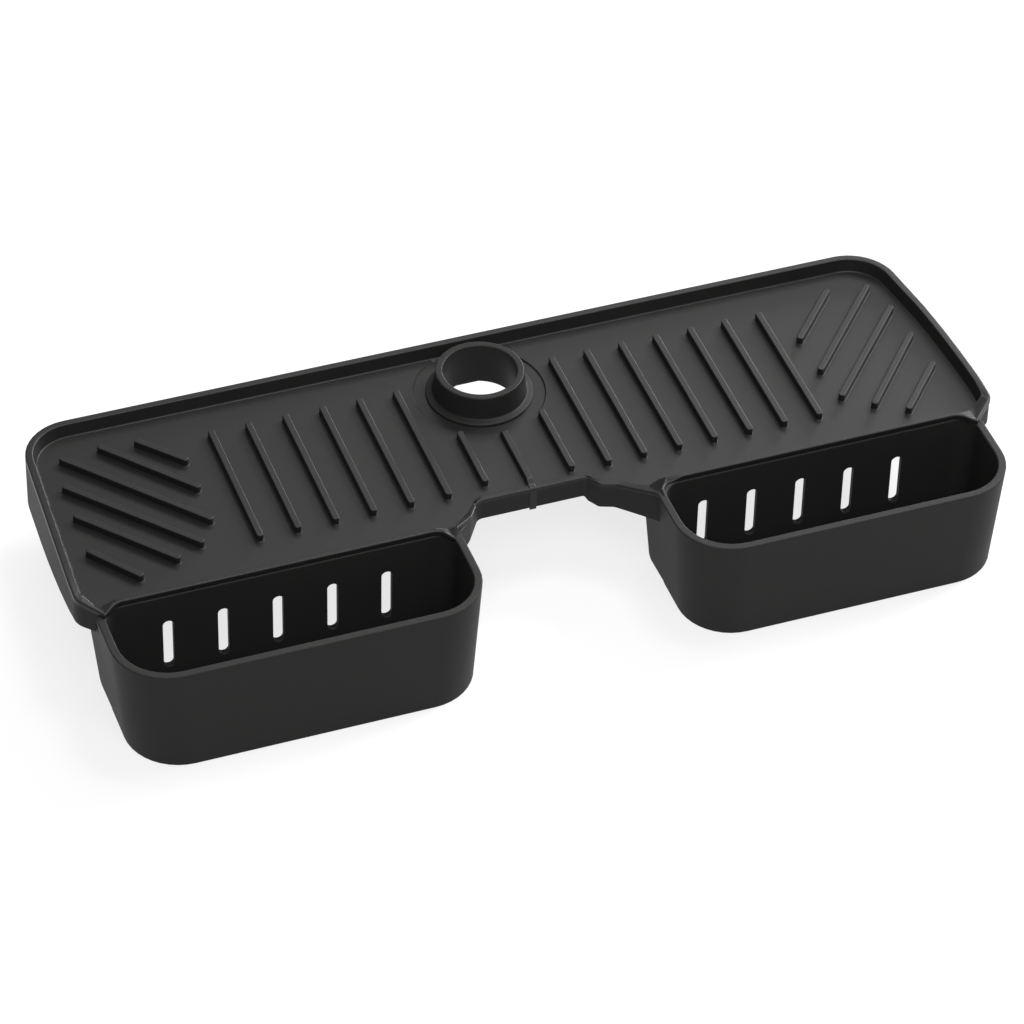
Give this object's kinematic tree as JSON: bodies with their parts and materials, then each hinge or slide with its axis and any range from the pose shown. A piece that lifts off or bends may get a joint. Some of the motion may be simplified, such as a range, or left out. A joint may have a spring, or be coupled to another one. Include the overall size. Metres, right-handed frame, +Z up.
{
  "type": "sink mat",
  "caption": "Rimmed silicone sink mat with a slit tap collar, drain ribs and slotted baskets hanging along its front edge.",
  "frame": {"origin": "centre of the bounding box at the bottom, on the plane of the basket floors", "axes": "+X to the right along the mat, +Y towards the back edge behind the tap, +Z up"},
  "size_m": [0.49, 0.1966, 0.0726],
  "materials": {
    "mat_silicone": "matte moulded silicone",
    "collar_silicone": "smooth matte moulded silicone",
    "basket_silicone": "matte moulded silicone"
  },
  "bodies": {
    "left_half": {"left_mat": "mat_silicone", "hinge_web": "mat_silicone", "left_collar": "collar_silicone", "left_basket": "basket_silicone"},
    "right_half": {"right_mat": "mat_silicone", "right_collar": "collar_silicone", "seam_bead": "mat_silicone", "right_basket": "basket_silicone"}
  },
  "joints": [
    {"name": "slit_opening", "type": "hinge", "parent": "left_half", "child": "right_half", "pos_m": [-0.0011, 0.09825, 0.0558], "axis": [0, 0, 1], "range_deg": [0, 35], "stiffness_Nm_per_rad": 0.3}
  ]
}
